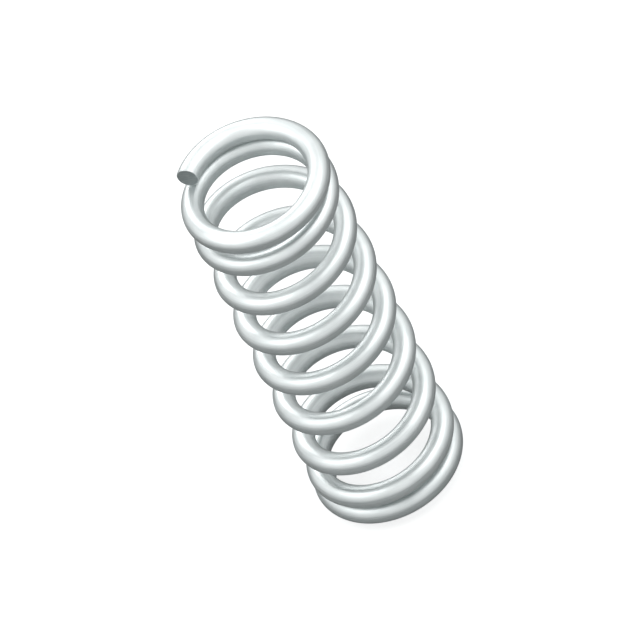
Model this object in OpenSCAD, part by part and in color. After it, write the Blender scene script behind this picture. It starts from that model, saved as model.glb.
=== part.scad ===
// Helical compression spring of round wire, wound right-handed.
// Each end closes down onto its neighbouring turn and is cut square across the
// wire, left unground. The axis is +Z, the lower end stands on z = 0, and both
// cut ends lie on the +X side when the number of turns is whole.
// All lengths are in millimetres.

/* [Wire] */
// Diameter of the wire
wire_d = 2.4; // [1.6:0.1:3]

/* [Coil] */
// Outside diameter of the coil
outer_d = 16.5; // [12:0.5:30]
// Length of the unloaded spring, from end to end
free_length = 49.5; // [36:0.5:90]
// Turns of wire from one cut end to the other
total_turns = 9; // [7:0.25:12]

/* [Ends] */
// Turns at each end that lie closed
closed_turns = 1; // [0.75:0.05:1.5]
// Turns over which the coil opens from closed to its working pitch
ramp_turns = 1; // [0.5:0.05:1.5]
// Clear space between a cut end and the turn that closes on it
end_gap = 0.05; // [0.03:0.01:0.2]

/* [Smoothness] */
// Sides of the wire's round section
wire_sides = 16; // [8:2:18]
// Sections along the whole wire
wire_sections = 324; // [216:2:340]

/* [Hidden] */

wire_r = wire_d / 2;
mean_r = outer_d / 2 - wire_r;
mean_turn = 2 * PI * mean_r;

// Neighbouring closed turns lie one wire and one gap apart, measured square to the wire
closed_slope = asin((wire_d + end_gap) / mean_turn);
closed_pitch = mean_turn * tan(closed_slope);

// The end sections lean with the wire, so they reach this far below and above their centres
end_reach = wire_r * cos(closed_slope);
coil_rise = free_length - 2 * end_reach;

// The open turns share the length that the closed ones leave
open_turns = total_turns - 2 * closed_turns - ramp_turns;
open_pitch = (coil_rise - closed_pitch * (total_turns - open_turns)) / open_turns;
pitch_growth = open_pitch - closed_pitch;

// Turns counted from the nearer end
function turns_in(t) = min(t, total_turns - t);

// How far the coil has opened at t: 0 where closed, 1 where fully open
function opening(t) = max(0, min(1, (turns_in(t) - closed_turns) / ramp_turns));

// Rise of the wire per turn at t
function pitch_at(t) = closed_pitch + pitch_growth * opening(t);

// Height gained over the first s turns: the pitch summed from the end inwards
function rise_in(s) =
    s <= closed_turns
    ? closed_pitch * s
    : s <= closed_turns + ramp_turns
    ? closed_pitch * s + pitch_growth * pow(s - closed_turns, 2) / (2 * ramp_turns)
    : closed_pitch * s + pitch_growth * (s - closed_turns - ramp_turns / 2);

// Height of the wire's centre above the lower end's at t; the upper half mirrors the lower
function rise_at(t) =
    t <= total_turns / 2
    ? rise_in(t)
    : coil_rise - rise_in(total_turns - t);

// Centre of the wire at t turns from the lower cut end
function wire_centre(t) = [
    mean_r * cos(360 * t),
    mean_r * sin(360 * t),
    end_reach + rise_at(t)
];

// Slope of the wire at t, in degrees above the horizontal
function slope_at(t) = atan(pitch_at(t) / mean_turn);

// Unit vectors across the wire at t: away from the axis, and square to that and to the wire
function outward(t) = [cos(360 * t), sin(360 * t), 0];
function across(t) = [
    sin(360 * t) * sin(slope_at(t)),
    -cos(360 * t) * sin(slope_at(t)),
    cos(slope_at(t))
];

// One round section of the wire at t, as points
function section_at(t) = [
    for (side = [0 : wire_sides - 1])
        let (turn = 360 * side / wire_sides)
        wire_centre(t) + wire_r * (cos(turn) * outward(t) + sin(turn) * across(t))
];

// Number of the point on a section, the last side followed by the first
function corner(section, side) = section * wire_sides + side % wire_sides;

// The wire as one closed skin: a band of triangles between each two sections and a flat cut at
// either end
module swept_wire() {
    points = [
        for (section = [0 : wire_sections])
            each section_at(total_turns * section / wire_sections)
    ];
    skin = [
        for (section = [0 : wire_sections - 1], side = [0 : wire_sides - 1])
            each [
                [corner(section, side), corner(section, side + 1), corner(section + 1, side + 1)],
                [corner(section, side), corner(section + 1, side + 1), corner(section + 1, side)]
            ]
    ];
    lower_cut = [for (side = [wire_sides - 1 : -1 : 0]) corner(0, side)];
    upper_cut = [for (side = [0 : wire_sides - 1]) corner(wire_sections, side)];
    polyhedron(points, concat([lower_cut], skin, [upper_cut]), convexity = 12);
}

module coil() {
    color("gainsboro")
        swept_wire();
}

coil();
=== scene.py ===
"""A helical compression spring of round wire, dressed and set on a pale studio floor.

The spring is one piece: a single wire carried along the coil, cut square at both ends.
Lengths are in metres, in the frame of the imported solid: +Z runs along the coil's axis, the lower
end stands on z = 0, and both cut ends lie on the +X side.
"""

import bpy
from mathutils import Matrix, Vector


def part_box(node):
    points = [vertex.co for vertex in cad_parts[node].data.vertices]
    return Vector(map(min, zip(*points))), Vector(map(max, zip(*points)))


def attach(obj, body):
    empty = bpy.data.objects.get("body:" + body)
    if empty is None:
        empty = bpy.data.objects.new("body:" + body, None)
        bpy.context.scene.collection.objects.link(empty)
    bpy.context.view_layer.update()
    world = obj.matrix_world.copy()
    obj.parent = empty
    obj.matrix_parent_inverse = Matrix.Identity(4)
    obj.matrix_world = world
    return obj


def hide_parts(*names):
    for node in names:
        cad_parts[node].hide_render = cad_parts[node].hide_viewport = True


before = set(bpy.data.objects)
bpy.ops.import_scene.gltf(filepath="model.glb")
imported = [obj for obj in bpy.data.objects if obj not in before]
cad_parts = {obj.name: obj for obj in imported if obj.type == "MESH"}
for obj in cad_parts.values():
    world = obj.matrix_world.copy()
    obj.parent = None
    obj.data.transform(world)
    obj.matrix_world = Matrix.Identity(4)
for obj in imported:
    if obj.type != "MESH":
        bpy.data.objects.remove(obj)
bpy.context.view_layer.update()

import math

import bpy
import numpy as np
from bpy.props import FloatProperty, FloatVectorProperty, IntProperty, PointerProperty
from mathutils import Matrix, Vector

bl_info = {
    "name": "Compression spring",
    "version": (1, 0, 0),
    "blender": (4, 5, 0),
    "location": "View3D > Sidebar > Spring",
    "description": "Makes a helical compression spring of round wire and its studio stage",
    "category": "Add Mesh",
}

MM = 0.001
COIL_LOW, COIL_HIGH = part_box("coil")
WIRE_DIAMETER = 2.4 * MM

# Rings of points on a cut face outside its middle point, and steps round its rim
FACE_RINGS = 8
RIM_STEPS = 4

# Colours of the wire: pale, faintly blue-green bright steel, and the tone left in its draw marks
WIRE_PALE = "E2E7E7"
WIRE_DEEP = "D0D6D6"
# At a glancing angle steel reflects less than an ideal metal, which leaves the wire's rims grey
GRAZING_TINT = "BCBCBC"
# Steel laid bare where the wire was sheared off, and the hollows of the shear lines
SHEARED_STEEL = "A5ACAC"
SHEARED_DARK = "8C9394"

# Draw marks along the wire, in millimetres. Real ones are some 0.02 wide, which is too fine to
# show, so these are drawn wider
MARK_WIDTH, MARK_LENGTH, MARK_DEPTH = 0.12, 12.0, 0.02
# Clouds of the drawing film and grain of the skin, in millimetres
CLOUD_SIZE, GRAIN_SIZE = 3.0, 0.15
# Depths under the coil's outermost line, in millimetres, at which the coiling track starts and
# is full
TRACK_STARTS, TRACK_FULL = 0.08, 0.02
# Lines that the cutter leaves on the cut faces, in millimetres
SHEAR_LENGTH, SHEAR_WIDTH, SHEAR_DEPTH = 0.8, 0.11, 0.03

# How much the marks count beside the clouds, and how much the track lightens and smooths the skin
MARK_WEIGHT = 0.8
TRACK_LIGHTER, TRACK_SMOOTHER = 0.12, 0.06
# Paleness, as a sum of marks and clouds, at which the skin has its deep colour and its pale one
DEEP_AT, PALE_AT = 0.65, 1.15
# Change of roughness from mark to mark, and height of the grain beside the marks' own
MARK_ROUGHNESS = 0.09
GRAIN_HEIGHT = 0.35
# Span that a noise's values mostly keep to
NOISE_LOW, NOISE_HIGH = 0.3, 0.7

# Pale seamless studio surface, and the painted grey tones that reflections see on it in place of its
# white, close to the spring and further off: painted shade on the wire's undersides
FLOOR_PALE = "BABDBD"
REFLECTED_SHADE_NEAR = "8A8D8D"
REFLECTED_SHADE_FAR = "6A6D6D"
# Distances from the coil's axis at which those two tones stand
NEAR_AT, FAR_AT = 20 * MM, 120 * MM
# The floor's reach to each side, and the glow that makes it white to the camera
FLOOR_REACH = 1.0
FLOOR_GLOW = 0.75

# The picture's middle, seen from the middle of the upper end turn: to the right, and down
AIM_RIGHT, AIM_DOWN = 7.15 * MM, 14.66 * MM
CAMERA_DISTANCE = 300 * MM
# The nearest and the furthest thing that the camera shows
CAMERA_SPAN = (1 * MM, 10.0)

# Soft boxes: direction from the spring, radius in degrees as the spring sees it, and radiance
SOFT_BOXES = {
    "first_box": ((0.48, 0.34, 0.81), 22, 1.6),
    "second_box": ((-0.46, -0.22, 0.86), 24, 1.7),
    "rear_box": ((0.60, -0.65, 0.46), 14, 3.3),
}
LAMP_DISTANCE = 0.5


def linear(code):
    """Linear RGBA of an sRGB colour that is written as six hex digits."""
    part = np.array([int(code[i : i + 2], 16) for i in (0, 2, 4)]) / 255
    low = part / 12.92
    high = ((part + 0.055) / 1.055) ** 2.4
    return (*np.where(part <= 0.04045, low, high).tolist(), 1.0)


# Sizes and colours that a user would change


class SpringWire(bpy.types.PropertyGroup):
    """Sizes of the coiled wire."""

    wire_diameter: FloatProperty(
        name="Wire diameter", description="Diameter of the round wire",
        default=WIRE_DIAMETER, unit="LENGTH", precision=5,
    )
    outer_diameter: FloatProperty(
        name="Outside diameter", description="Diameter over the outside of the coil",
        default=COIL_HIGH.x - COIL_LOW.x, unit="LENGTH", precision=5,
    )
    free_length: FloatProperty(
        name="Free length", description="Length of the unloaded spring",
        default=COIL_HIGH.z - COIL_LOW.z, unit="LENGTH", precision=5,
    )
    total_turns: FloatProperty(
        name="Turns", description="Turns of wire from one cut end to the other", default=9.0,
    )
    closed_turns: FloatProperty(
        name="Closed turns", description="Turns that lie closed at each end", default=1.0,
    )
    ramp_turns: FloatProperty(
        name="Opening turns", default=1.0,
        description="Turns over which the coil opens from closed to its working pitch",
    )
    end_gap: FloatProperty(
        name="End gap", description="Clear space between a cut end and the turn that closes on it",
        default=0.05 * MM, unit="LENGTH", precision=5,
    )
    cut_edge: FloatProperty(
        name="Cut edge", description="Radius that shearing and tumbling leave on the cut end's rim",
        default=0.09 * MM, unit="LENGTH", precision=5,
    )
    sides: IntProperty(name="Sides", description="Points round the wire", default=40, min=8)
    sections_per_turn: IntProperty(
        name="Sections per turn", description="Sections of the wire in each turn",
        default=168, min=24,
    )


class SpringFinish(bpy.types.PropertyGroup):
    """Colours and gloss of the spring."""

    pale: FloatVectorProperty(
        name="Bright wire", description="Colour of the bright drawn wire",
        subtype="COLOR", size=4, default=linear(WIRE_PALE), min=0, max=1,
    )
    deep: FloatVectorProperty(
        name="Drawn marks", description="Colour in the draw marks and clouds of the wire's skin",
        subtype="COLOR", size=4, default=linear(WIRE_DEEP), min=0, max=1,
    )
    cut: FloatVectorProperty(
        name="Sheared steel", description="Colour of the wire's cut ends",
        subtype="COLOR", size=4, default=linear(SHEARED_STEEL), min=0, max=1,
    )
    roughness: FloatProperty(
        name="Roughness", description="Roughness of the wire's satin skin",
        default=0.45, min=0, max=1, subtype="FACTOR",
    )
    cut_roughness: FloatProperty(
        name="Cut roughness", description="Roughness of the wire's cut ends",
        default=0.7, min=0, max=1, subtype="FACTOR",
    )


class StudioStage(bpy.types.PropertyGroup):
    """Floor, lamps and camera."""

    azimuth: FloatProperty(
        name="Azimuth", description="Camera's turn about the spring's axis",
        default=math.radians(213.96), subtype="ANGLE",
    )
    elevation: FloatProperty(
        name="Elevation", description="Camera's angle above the floor",
        default=math.radians(46.08), subtype="ANGLE",
    )
    roll: FloatProperty(
        name="Roll", description="Camera's turn about its own line of sight",
        default=math.radians(-26.16), subtype="ANGLE",
    )
    view_width: FloatProperty(
        name="View width", description="Width that the parallel view covers",
        default=66.0 * MM, unit="LENGTH",
    )
    lamp_level: FloatProperty(
        name="Lamp level", description="Brightness of the soft boxes", default=1.0, min=0,
    )
    sky_level: FloatProperty(
        name="Sky level", description="Brightness of the room's plain light", default=0.45, min=0,
    )
    floor_colour: FloatVectorProperty(
        name="Floor", description="Colour of the floor",
        subtype="COLOR", size=4, default=linear(FLOOR_PALE), min=0, max=1,
    )
    # The rest of what reflections see of the floor is the painted grey, which paints shade on the
    # wire's undersides
    floor_shine: FloatProperty(
        name="White floor in the metal",
        description="Share of the floor's white that reflections show",
        default=0.12, min=0, max=1, subtype="FACTOR",
    )


# The wire's surface


def wire_line(turn, wire):
    """Centre of the wire and the unit vectors across it, at an array of turns from the lower end.

    The centre runs round a circle of the coil's mean radius while it climbs. Its rise per turn is
    one wire and one gap in the closed turns, grows evenly over the opening turns and then stays;
    the upper half is the lower half turned over. Returned are the centres, the unit vectors away
    from the axis, those square to them and to the wire, and those along the wire.
    """
    radius = wire.wire_diameter / 2
    mean_radius = wire.outer_diameter / 2 - radius
    lap = 2 * np.pi * mean_radius
    closed_slope = np.arcsin((wire.wire_diameter + wire.end_gap) / lap)
    closed_pitch = lap * np.tan(closed_slope)
    end_reach = radius * np.cos(closed_slope)
    climb = wire.free_length - 2 * end_reach
    total, closed, ramp = wire.total_turns, wire.closed_turns, wire.ramp_turns
    open_turns = total - 2 * closed - ramp
    growth = (climb - closed_pitch * (total - open_turns)) / open_turns - closed_pitch

    def risen(turns):
        """Height gained over so many turns from an end: the rise per turn, summed."""
        opening = np.clip(turns - closed, 0, ramp)
        opened = np.maximum(turns - closed - ramp, 0)
        return closed_pitch * turns + growth * (opening**2 / (2 * ramp) + opened)

    rise = np.where(turn <= total / 2, risen(turn), climb - risen(total - turn))
    from_end = np.minimum(turn, total - turn)
    pitch = closed_pitch + growth * np.clip((from_end - closed) / ramp, 0, 1)
    slope = np.arctan(pitch / lap)
    angle = 2 * np.pi * turn
    cosine, sine, level = np.cos(angle), np.sin(angle), np.zeros_like(angle)
    centre = np.stack([mean_radius * cosine, mean_radius * sine, end_reach + rise], -1)
    outward = np.stack([cosine, sine, level], -1)
    across = np.stack([sine * np.sin(slope), -cosine * np.sin(slope), np.cos(slope)], -1)
    return centre, outward, across, np.cross(across, outward)


def wire_rows(wire):
    """Rows of the wire's skin: turn, radius, distance past that turn along the wire, face flag.

    The skin starts at the middle of the lower cut, runs out over the flat face in rings, round
    the rim on a quarter circle, along the wire at its full radius, and back in over the upper cut.
    """
    radius, edge = wire.wire_diameter / 2, wire.cut_edge
    face = np.linspace(0, radius - edge, FACE_RINGS + 1)[1:]
    bend = np.linspace(0, np.pi / 2, RIM_STEPS + 1)[1:]
    cap_radius = np.concatenate([face, radius - edge * (1 - np.sin(bend))])
    cap_shift = np.concatenate([0 * face, edge * (1 - np.cos(bend))])
    cap_flat = np.concatenate([0 * face + 1, 0 * bend])

    lap = np.pi * (wire.outer_diameter - wire.wire_diameter)
    past_rim = 2 * edge / lap
    sections = int(round(wire.total_turns * wire.sections_per_turn))
    body = np.linspace(0, wire.total_turns, sections + 1)
    body = body[(body > past_rim) & (body < wire.total_turns - past_rim)]

    turn = np.concatenate([0 * cap_radius, body, 0 * cap_radius + wire.total_turns])
    reach = np.concatenate([cap_radius, 0 * body + radius, cap_radius[::-1]])
    shift = np.concatenate([cap_shift, 0 * body, -cap_shift[::-1]])
    flat = np.concatenate([cap_flat, 0 * body, cap_flat[::-1]])
    return turn, reach, shift, flat


def wire_mesh(name, wire):
    """One closed mesh of the wire: rings of points from wire_rows, and each cut's middle point.

    A ring's point is centre + shift x along + radius x (cosine x outward + sine x across), for
    each angle round the wire. The attribute wire_space holds each point in the straightened wire,
    in millimetres: outward, across, and the length along the wire, so that a pattern follows the
    coil without a seam.
    """
    turn, radius, shift, flat = wire_rows(wire)
    centre, outward, across, along = wire_line(turn, wire)
    rows, sides = len(turn), wire.sides
    angle = np.linspace(0, 2 * np.pi, sides, endpoint=False)
    out_part = radius[:, None] * np.cos(angle)
    across_part = radius[:, None] * np.sin(angle)
    rings = (
        (centre + shift[:, None] * along)[:, None]
        + out_part[:, :, None] * outward[:, None]
        + across_part[:, :, None] * across[:, None]
    )
    points = np.concatenate([rings.reshape(-1, 3), centre[[0, -1]]])

    lap = np.pi * (wire.outer_diameter - wire.wire_diameter)
    length = turn * math.hypot(lap, wire.free_length / wire.total_turns) + shift
    space = np.stack([out_part, across_part, np.repeat(length[:, None], sides, 1)], -1)
    space = np.concatenate([space.reshape(-1, 3), [[0, 0, length[0]], [0, 0, length[-1]]]]) / MM

    side = np.arange(sides)
    next_side = (side + 1) % sides
    row_start = np.arange(rows - 1)[:, None] * sides
    here, beside = row_start + side, row_start + next_side
    bands = np.stack([here, here + sides, beside + sides, beside], -1).reshape(-1, 4)
    last_row = (rows - 1) * sides
    lower_middle, upper_middle = rows * sides, rows * sides + 1
    lower_fan = np.stack([np.full(sides, lower_middle), side, next_side], -1)
    upper_fan = np.stack([np.full(sides, upper_middle), last_row + next_side, last_row + side], -1)

    mesh = bpy.data.meshes.new(name)
    mesh.from_pydata(points.tolist(), [], bands.tolist() + lower_fan.tolist() + upper_fan.tolist())
    mesh.update()
    attribute = mesh.attributes.new("wire_space", "FLOAT_VECTOR", "POINT")
    attribute.data.foreach_set("vector", space.ravel())
    on_cut = np.concatenate([np.repeat(np.minimum(flat[:-1], flat[1:]), sides), np.ones(2 * sides)])
    mesh.polygons.foreach_set("use_smooth", np.ones(len(on_cut), dtype=bool))
    mesh.polygons.foreach_set("material_index", on_cut.astype(np.int32))
    return mesh


# Materials


def add_node(tree, kind, inputs=None, **settings):
    """Add a node with its settings, set or link the inputs given, and give back its outputs.

    An input is given by its name, or by its number where several have the same name.
    """
    node = tree.nodes.new(kind)
    for key, value in settings.items():
        setattr(node, key, value)
    for key, value in (inputs or {}).items():
        if isinstance(value, bpy.types.NodeSocket):
            tree.links.new(value, node.inputs[key])
        else:
            node.inputs[key].default_value = value
    return node.outputs


def new_material(name):
    """A material with an empty node tree, and that tree."""
    material = bpy.data.materials.new(name)
    material.use_nodes = True
    material.node_tree.nodes.clear()
    return material, material.node_tree


def drawn_wire(finish, wire_diameter):
    """Bright spring steel, cold drawn through a die and coiled: a satin, faintly blue-grey skin."""
    material, tree = new_material("bright_drawn_spring_wire")
    place = add_node(tree, "ShaderNodeAttribute", attribute_name="wire_space")["Vector"]
    # Draw marks, long and thin, along the wire
    lines = add_node(
        tree, "ShaderNodeMapping",
        {"Vector": place, "Scale": (1 / MARK_WIDTH, 1 / MARK_WIDTH, 1 / MARK_LENGTH)},
    )["Vector"]
    marks = add_node(
        tree, "ShaderNodeTexNoise",
        {"Vector": lines, "Scale": 1.0, "Detail": 3.0, "Roughness": 0.6},
    )["Fac"]
    clouds = add_node(
        tree, "ShaderNodeTexNoise", {"Vector": place, "Scale": 1 / CLOUD_SIZE, "Detail": 2.0}
    )["Fac"]
    grain = add_node(
        tree, "ShaderNodeTexNoise", {"Vector": place, "Scale": 1 / GRAIN_SIZE, "Detail": 1.0}
    )["Fac"]
    # Track that the coiling points rub brighter and smoother along the outside of the coil
    outward = add_node(tree, "ShaderNodeSeparateXYZ", {"Vector": place})["X"]
    skin = wire_diameter / 2 / MM
    track = add_node(
        tree, "ShaderNodeMapRange",
        {"Value": outward, "From Min": skin - TRACK_STARTS, "From Max": skin - TRACK_FULL},
        interpolation_type="SMOOTHSTEP",
    )["Result"]

    # Colour: deep in the marks and clouds, pale between them and on the track
    paleness = add_node(
        tree, "ShaderNodeMath", {0: marks, 1: MARK_WEIGHT, 2: clouds}, operation="MULTIPLY_ADD"
    )["Value"]
    paleness = add_node(
        tree, "ShaderNodeMath", {0: track, 1: TRACK_LIGHTER, 2: paleness}, operation="MULTIPLY_ADD"
    )["Value"]
    tone = add_node(
        tree, "ShaderNodeMapRange", {"Value": paleness, "From Min": DEEP_AT, "From Max": PALE_AT}
    )["Result"]
    colour = add_node(
        tree, "ShaderNodeMix",
        {"Factor": tone, "A": tuple(finish.deep), "B": tuple(finish.pale)}, data_type="RGBA",
    )["Result"]

    # Roughness: changes from mark to mark, less on the track
    roughness = add_node(
        tree, "ShaderNodeMapRange",
        {
            "Value": marks, "From Min": NOISE_LOW, "From Max": NOISE_HIGH,
            "To Min": finish.roughness - MARK_ROUGHNESS, "To Max": finish.roughness + MARK_ROUGHNESS,
        },
    )["Result"]
    roughness = add_node(
        tree, "ShaderNodeMath", {0: track, 1: -TRACK_SMOOTHER, 2: roughness},
        operation="MULTIPLY_ADD",
    )["Value"]

    # Relief: the marks with the grain in them
    height = add_node(
        tree, "ShaderNodeMath", {0: grain, 1: GRAIN_HEIGHT, 2: marks}, operation="MULTIPLY_ADD"
    )["Value"]
    relief = add_node(
        tree, "ShaderNodeBump", {"Height": height, "Strength": 0.45, "Distance": MARK_DEPTH * MM}
    )["Normal"]

    metal = add_node(
        tree, "ShaderNodeBsdfPrincipled",
        {
            "Base Color": colour, "Metallic": 1.0, "Roughness": roughness, "Normal": relief,
            "Specular Tint": linear(GRAZING_TINT),
        },
    )["BSDF"]
    add_node(tree, "ShaderNodeOutputMaterial", {"Surface": metal})
    return material


def sheared_end(finish):
    """Steel sheared through by the coiling machine's cutter: duller, darker, lined down the cut."""
    material, tree = new_material("sheared_spring_steel")
    place = add_node(tree, "ShaderNodeAttribute", attribute_name="wire_space")["Vector"]
    lines = add_node(
        tree, "ShaderNodeMapping",
        {"Vector": place, "Scale": (1 / SHEAR_LENGTH, 1 / SHEAR_WIDTH, 1.0)},
    )["Vector"]
    marks = add_node(
        tree, "ShaderNodeTexNoise",
        {"Vector": lines, "Scale": 1.0, "Detail": 3.0, "Roughness": 0.6},
    )["Fac"]
    tone = add_node(
        tree, "ShaderNodeMapRange", {"Value": marks, "From Min": NOISE_LOW, "From Max": NOISE_HIGH}
    )["Result"]
    colour = add_node(
        tree, "ShaderNodeMix",
        {"Factor": tone, "A": linear(SHEARED_DARK), "B": tuple(finish.cut)}, data_type="RGBA",
    )["Result"]
    relief = add_node(
        tree, "ShaderNodeBump", {"Height": marks, "Strength": 0.25, "Distance": SHEAR_DEPTH * MM}
    )["Normal"]
    metal = add_node(
        tree, "ShaderNodeBsdfPrincipled",
        {
            "Base Color": colour, "Metallic": 1.0, "Roughness": finish.cut_roughness,
            "Normal": relief,
        },
    )["BSDF"]
    add_node(tree, "ShaderNodeOutputMaterial", {"Surface": metal})
    return material


# Stage


def camera_axes(stage):
    """Unit vectors to the right, up and back of the camera, from its azimuth, elevation and roll."""
    round_axis, above, roll = stage.azimuth, stage.elevation, stage.roll
    back = Vector((
        math.sin(round_axis) * math.cos(above),
        -math.cos(round_axis) * math.cos(above),
        math.sin(above),
    ))
    level = Vector((math.cos(round_axis), math.sin(round_axis), 0))
    rise = back.cross(level)
    right = level * math.cos(roll) + rise * math.sin(roll)
    return right, back.cross(right), back


def parallel_camera(stage):
    """A camera without perspective, as the photograph has none."""
    data = bpy.data.cameras.new("camera")
    data.type = "ORTHO"
    data.ortho_scale = stage.view_width
    data.clip_start, data.clip_end = CAMERA_SPAN
    camera = bpy.data.objects.new("camera", data)
    bpy.context.scene.collection.objects.link(camera)
    right, up, back = camera_axes(stage)
    upper_turn = Vector((0, 0, COIL_HIGH.z - WIRE_DIAMETER / 2))
    aim = upper_turn + right * AIM_RIGHT - up * AIM_DOWN
    facing = Matrix((right, up, back)).transposed().to_4x4()
    camera.matrix_world = Matrix.Translation(aim + back * CAMERA_DISTANCE) @ facing
    bpy.context.scene.camera = camera


def soft_box(name, direction, half_angle, radiance):
    """A round area lamp that faces the spring, half_angle degrees in radius as its middle sees it."""
    radius = LAMP_DISTANCE * math.tan(math.radians(half_angle))
    data = bpy.data.lights.new(name, "AREA")
    data.shape = "DISK"
    data.size = 2 * radius
    # Power of a flat disc that shines evenly: pi x its area x its radiance
    data.energy = radiance * math.pi * math.pi * radius**2
    lamp = bpy.data.objects.new(name, data)
    bpy.context.scene.collection.objects.link(lamp)
    way = Vector(direction).normalized()
    lamp.location = (COIL_LOW + COIL_HIGH) / 2 + way * LAMP_DISTANCE
    lamp.rotation_mode = "QUATERNION"
    lamp.rotation_quaternion = way.to_track_quat("Z", "Y")
    lamp.visible_camera = False


def studio_world(stage):
    """Plain even room light; the camera and reflections see white behind the object."""
    world = bpy.data.worlds.new("plain_room")
    world.use_nodes = True
    tree = world.node_tree
    tree.nodes.clear()
    ray = add_node(tree, "ShaderNodeLightPath")
    seen = ray["Is Camera Ray"]
    for kind in ("Is Glossy Ray", "Is Transmission Ray"):
        seen = add_node(
            tree, "ShaderNodeMath", {0: seen, 1: ray[kind]}, operation="MAXIMUM"
        )["Value"]
    room = add_node(
        tree, "ShaderNodeBackground", {"Color": (1, 1, 1, 1), "Strength": stage.sky_level}
    )["Background"]
    white = add_node(
        tree, "ShaderNodeBackground", {"Color": (1, 1, 1, 1), "Strength": 1.0}
    )["Background"]
    surroundings = add_node(tree, "ShaderNodeMixShader", {0: seen, 1: room, 2: white})["Shader"]
    add_node(tree, "ShaderNodeOutputWorld", {"Surface": surroundings})
    bpy.context.scene.world = world


def floor_surface(stage):
    """Matt seamless paper: white to the camera but for the shadow. Reflections see mostly a painted
    grey in place of its white, which paints shade on the wire's undersides.
    """
    material, tree = new_material("pale_floor")
    ray = add_node(tree, "ShaderNodeLightPath")
    # Painted shade: the grey that reflections see in place of the floor's white, by its distance from
    # the coil's axis and darker further off; it darkens the wire's undersides
    place = add_node(tree, "ShaderNodeTexCoord")["Object"]
    away = add_node(tree, "ShaderNodeVectorMath", {0: place}, operation="LENGTH")["Value"]
    reach = add_node(
        tree, "ShaderNodeMapRange", {"Value": away, "From Min": NEAR_AT, "From Max": FAR_AT}
    )["Result"]
    tone = add_node(
        tree, "ShaderNodeMix",
        {"Factor": reach, "A": linear(REFLECTED_SHADE_NEAR), "B": linear(REFLECTED_SHADE_FAR)}, data_type="RGBA",
    )["Result"]
    grey = add_node(tree, "ShaderNodeBsdfDiffuse", {"Color": tone})["BSDF"]
    # The white that the camera sees
    matt = add_node(tree, "ShaderNodeBsdfDiffuse", {"Color": tuple(stage.floor_colour)})["BSDF"]
    glow = add_node(
        tree, "ShaderNodeEmission", {"Color": (1, 1, 1, 1), "Strength": FLOOR_GLOW}
    )["Emission"]
    white = add_node(tree, "ShaderNodeAddShader", {0: matt, 1: glow})["Shader"]
    # The share of that white in what a ray sees
    share = add_node(
        tree, "ShaderNodeMath", {0: ray["Is Camera Ray"], 1: ray["Is Transmission Ray"]},
        operation="MAXIMUM",
    )["Value"]
    share = add_node(
        tree, "ShaderNodeMath", {0: ray["Is Glossy Ray"], 1: stage.floor_shine, 2: share},
        operation="MULTIPLY_ADD", use_clamp=True,
    )["Value"]
    paper = add_node(tree, "ShaderNodeMixShader", {0: share, 1: grey, 2: white})["Shader"]
    add_node(tree, "ShaderNodeOutputMaterial", {"Surface": paper})
    return material


def studio_floor(stage):
    """A flat pale floor under the spring."""
    mesh = bpy.data.meshes.new("floor")
    corners = [(-1, -1), (1, -1), (1, 1), (-1, 1)]
    points = [(x * FLOOR_REACH, y * FLOOR_REACH, 0) for x, y in corners]
    mesh.from_pydata(points, [], [(0, 1, 2, 3)])
    mesh.materials.append(floor_surface(stage))
    floor = bpy.data.objects.new("floor", mesh)
    bpy.context.scene.collection.objects.link(floor)


# Operators and panel


class SPRING_OT_coil(bpy.types.Operator):
    """Make the spring's wire in place of the plain solid."""

    bl_idname = "spring.coil"
    bl_label = "Coiled wire"

    def execute(self, context):
        scene = context.scene
        mesh = wire_mesh("spring_wire", scene.spring_wire)
        mesh.materials.append(drawn_wire(scene.spring_finish, scene.spring_wire.wire_diameter))
        mesh.materials.append(sheared_end(scene.spring_finish))
        piece = bpy.data.objects.new("spring_wire", mesh)
        scene.collection.objects.link(piece)
        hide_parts("coil")
        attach(piece, "root")
        return {"FINISHED"}


class SPRING_OT_stage(bpy.types.Operator):
    """Make the floor, the lamps and the camera."""

    bl_idname = "spring.stage"
    bl_label = "Studio stage"

    def execute(self, context):
        scene = context.scene
        stage = scene.spring_stage
        parallel_camera(stage)
        studio_world(stage)
        studio_floor(stage)
        for name, (direction, half_angle, radiance) in SOFT_BOXES.items():
            soft_box(name, direction, half_angle, radiance * stage.lamp_level)
        scene.view_settings.view_transform = "Standard"
        return {"FINISHED"}


class VIEW3D_PT_spring(bpy.types.Panel):
    """Lists the spring's makers and sizes."""

    bl_label = "Compression spring"
    bl_space_type = "VIEW_3D"
    bl_region_type = "UI"
    bl_category = "Spring"

    def draw(self, context):
        scene = context.scene
        self.layout.operator(SPRING_OT_coil.bl_idname)
        self.layout.operator(SPRING_OT_stage.bl_idname)
        for group in (scene.spring_wire, scene.spring_finish, scene.spring_stage):
            for key in group.__annotations__:
                self.layout.prop(group, key)


CLASSES = (SpringWire, SpringFinish, StudioStage, SPRING_OT_coil, SPRING_OT_stage, VIEW3D_PT_spring)


def register():
    """Make the classes and the scene's three groups of properties known to Blender."""
    for each in CLASSES:
        bpy.utils.register_class(each)
    bpy.types.Scene.spring_wire = PointerProperty(type=SpringWire)
    bpy.types.Scene.spring_finish = PointerProperty(type=SpringFinish)
    bpy.types.Scene.spring_stage = PointerProperty(type=StudioStage)


def unregister():
    """Take back what register did."""
    del bpy.types.Scene.spring_stage
    del bpy.types.Scene.spring_finish
    del bpy.types.Scene.spring_wire
    for each in reversed(CLASSES):
        bpy.utils.unregister_class(each)


def main():
    """Make the spring and its stage."""
    register()
    bpy.ops.spring.coil()
    bpy.ops.spring.stage()


if __name__ == "__main__":
    main()
